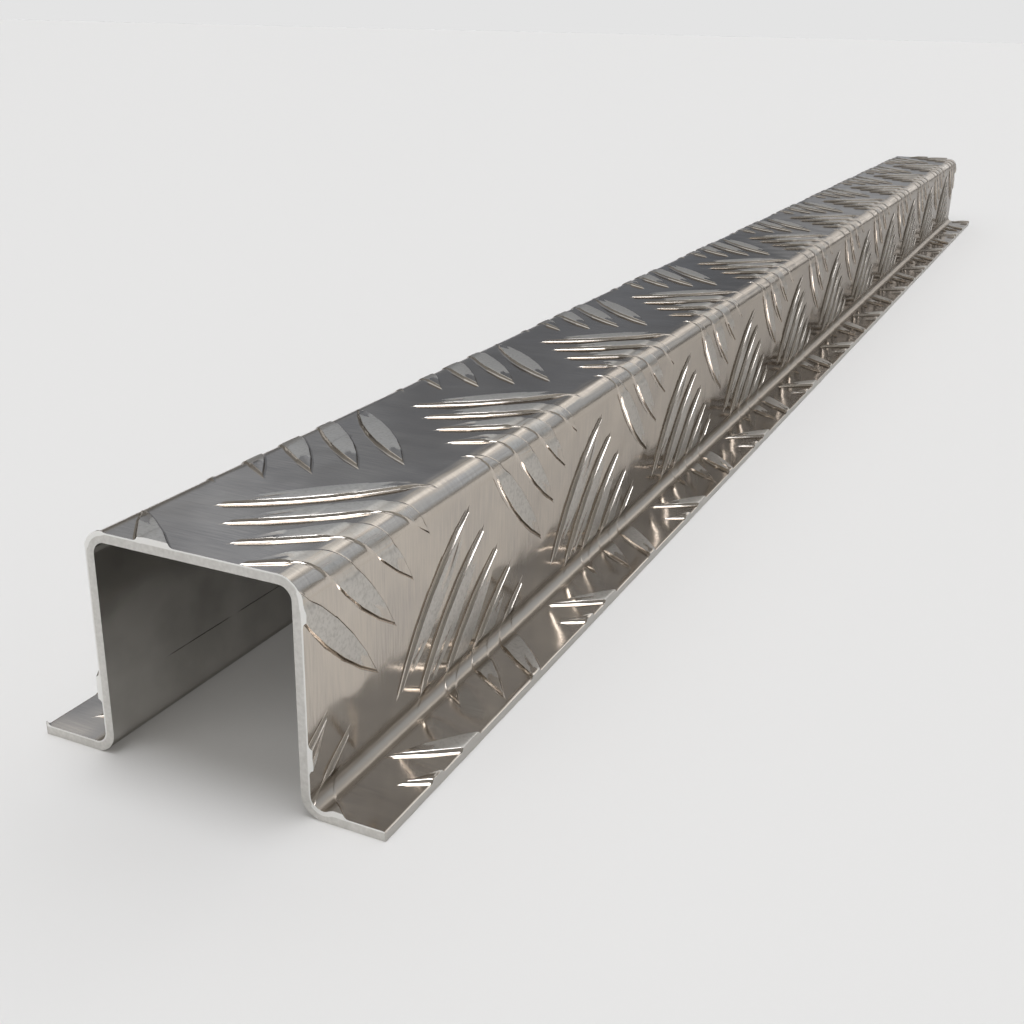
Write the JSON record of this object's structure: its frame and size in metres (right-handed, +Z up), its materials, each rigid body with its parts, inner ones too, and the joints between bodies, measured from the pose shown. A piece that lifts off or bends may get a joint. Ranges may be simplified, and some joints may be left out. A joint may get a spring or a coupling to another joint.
{
  "type": "top hat channel",
  "caption": "Straight top hat channel folded from aluminium tread plate, with a flat crown, two upright webs and out-turned flanges to fasten it down.",
  "frame": {"origin": "on the floor, midway between the two ends and midway between the two webs", "axes": "+X across the section, +Y along the length, +Z up from the flanges to the crown"},
  "size_m": [0.058, 0.64, 0.035],
  "materials": {
    "tread_plate": "mill finish, rolled five-bar tread on the outside, plain inside, sheared edges"
  },
  "bodies": {
    "root": {"top_hat_channel": "tread_plate"}
  },
  "joints": []
}
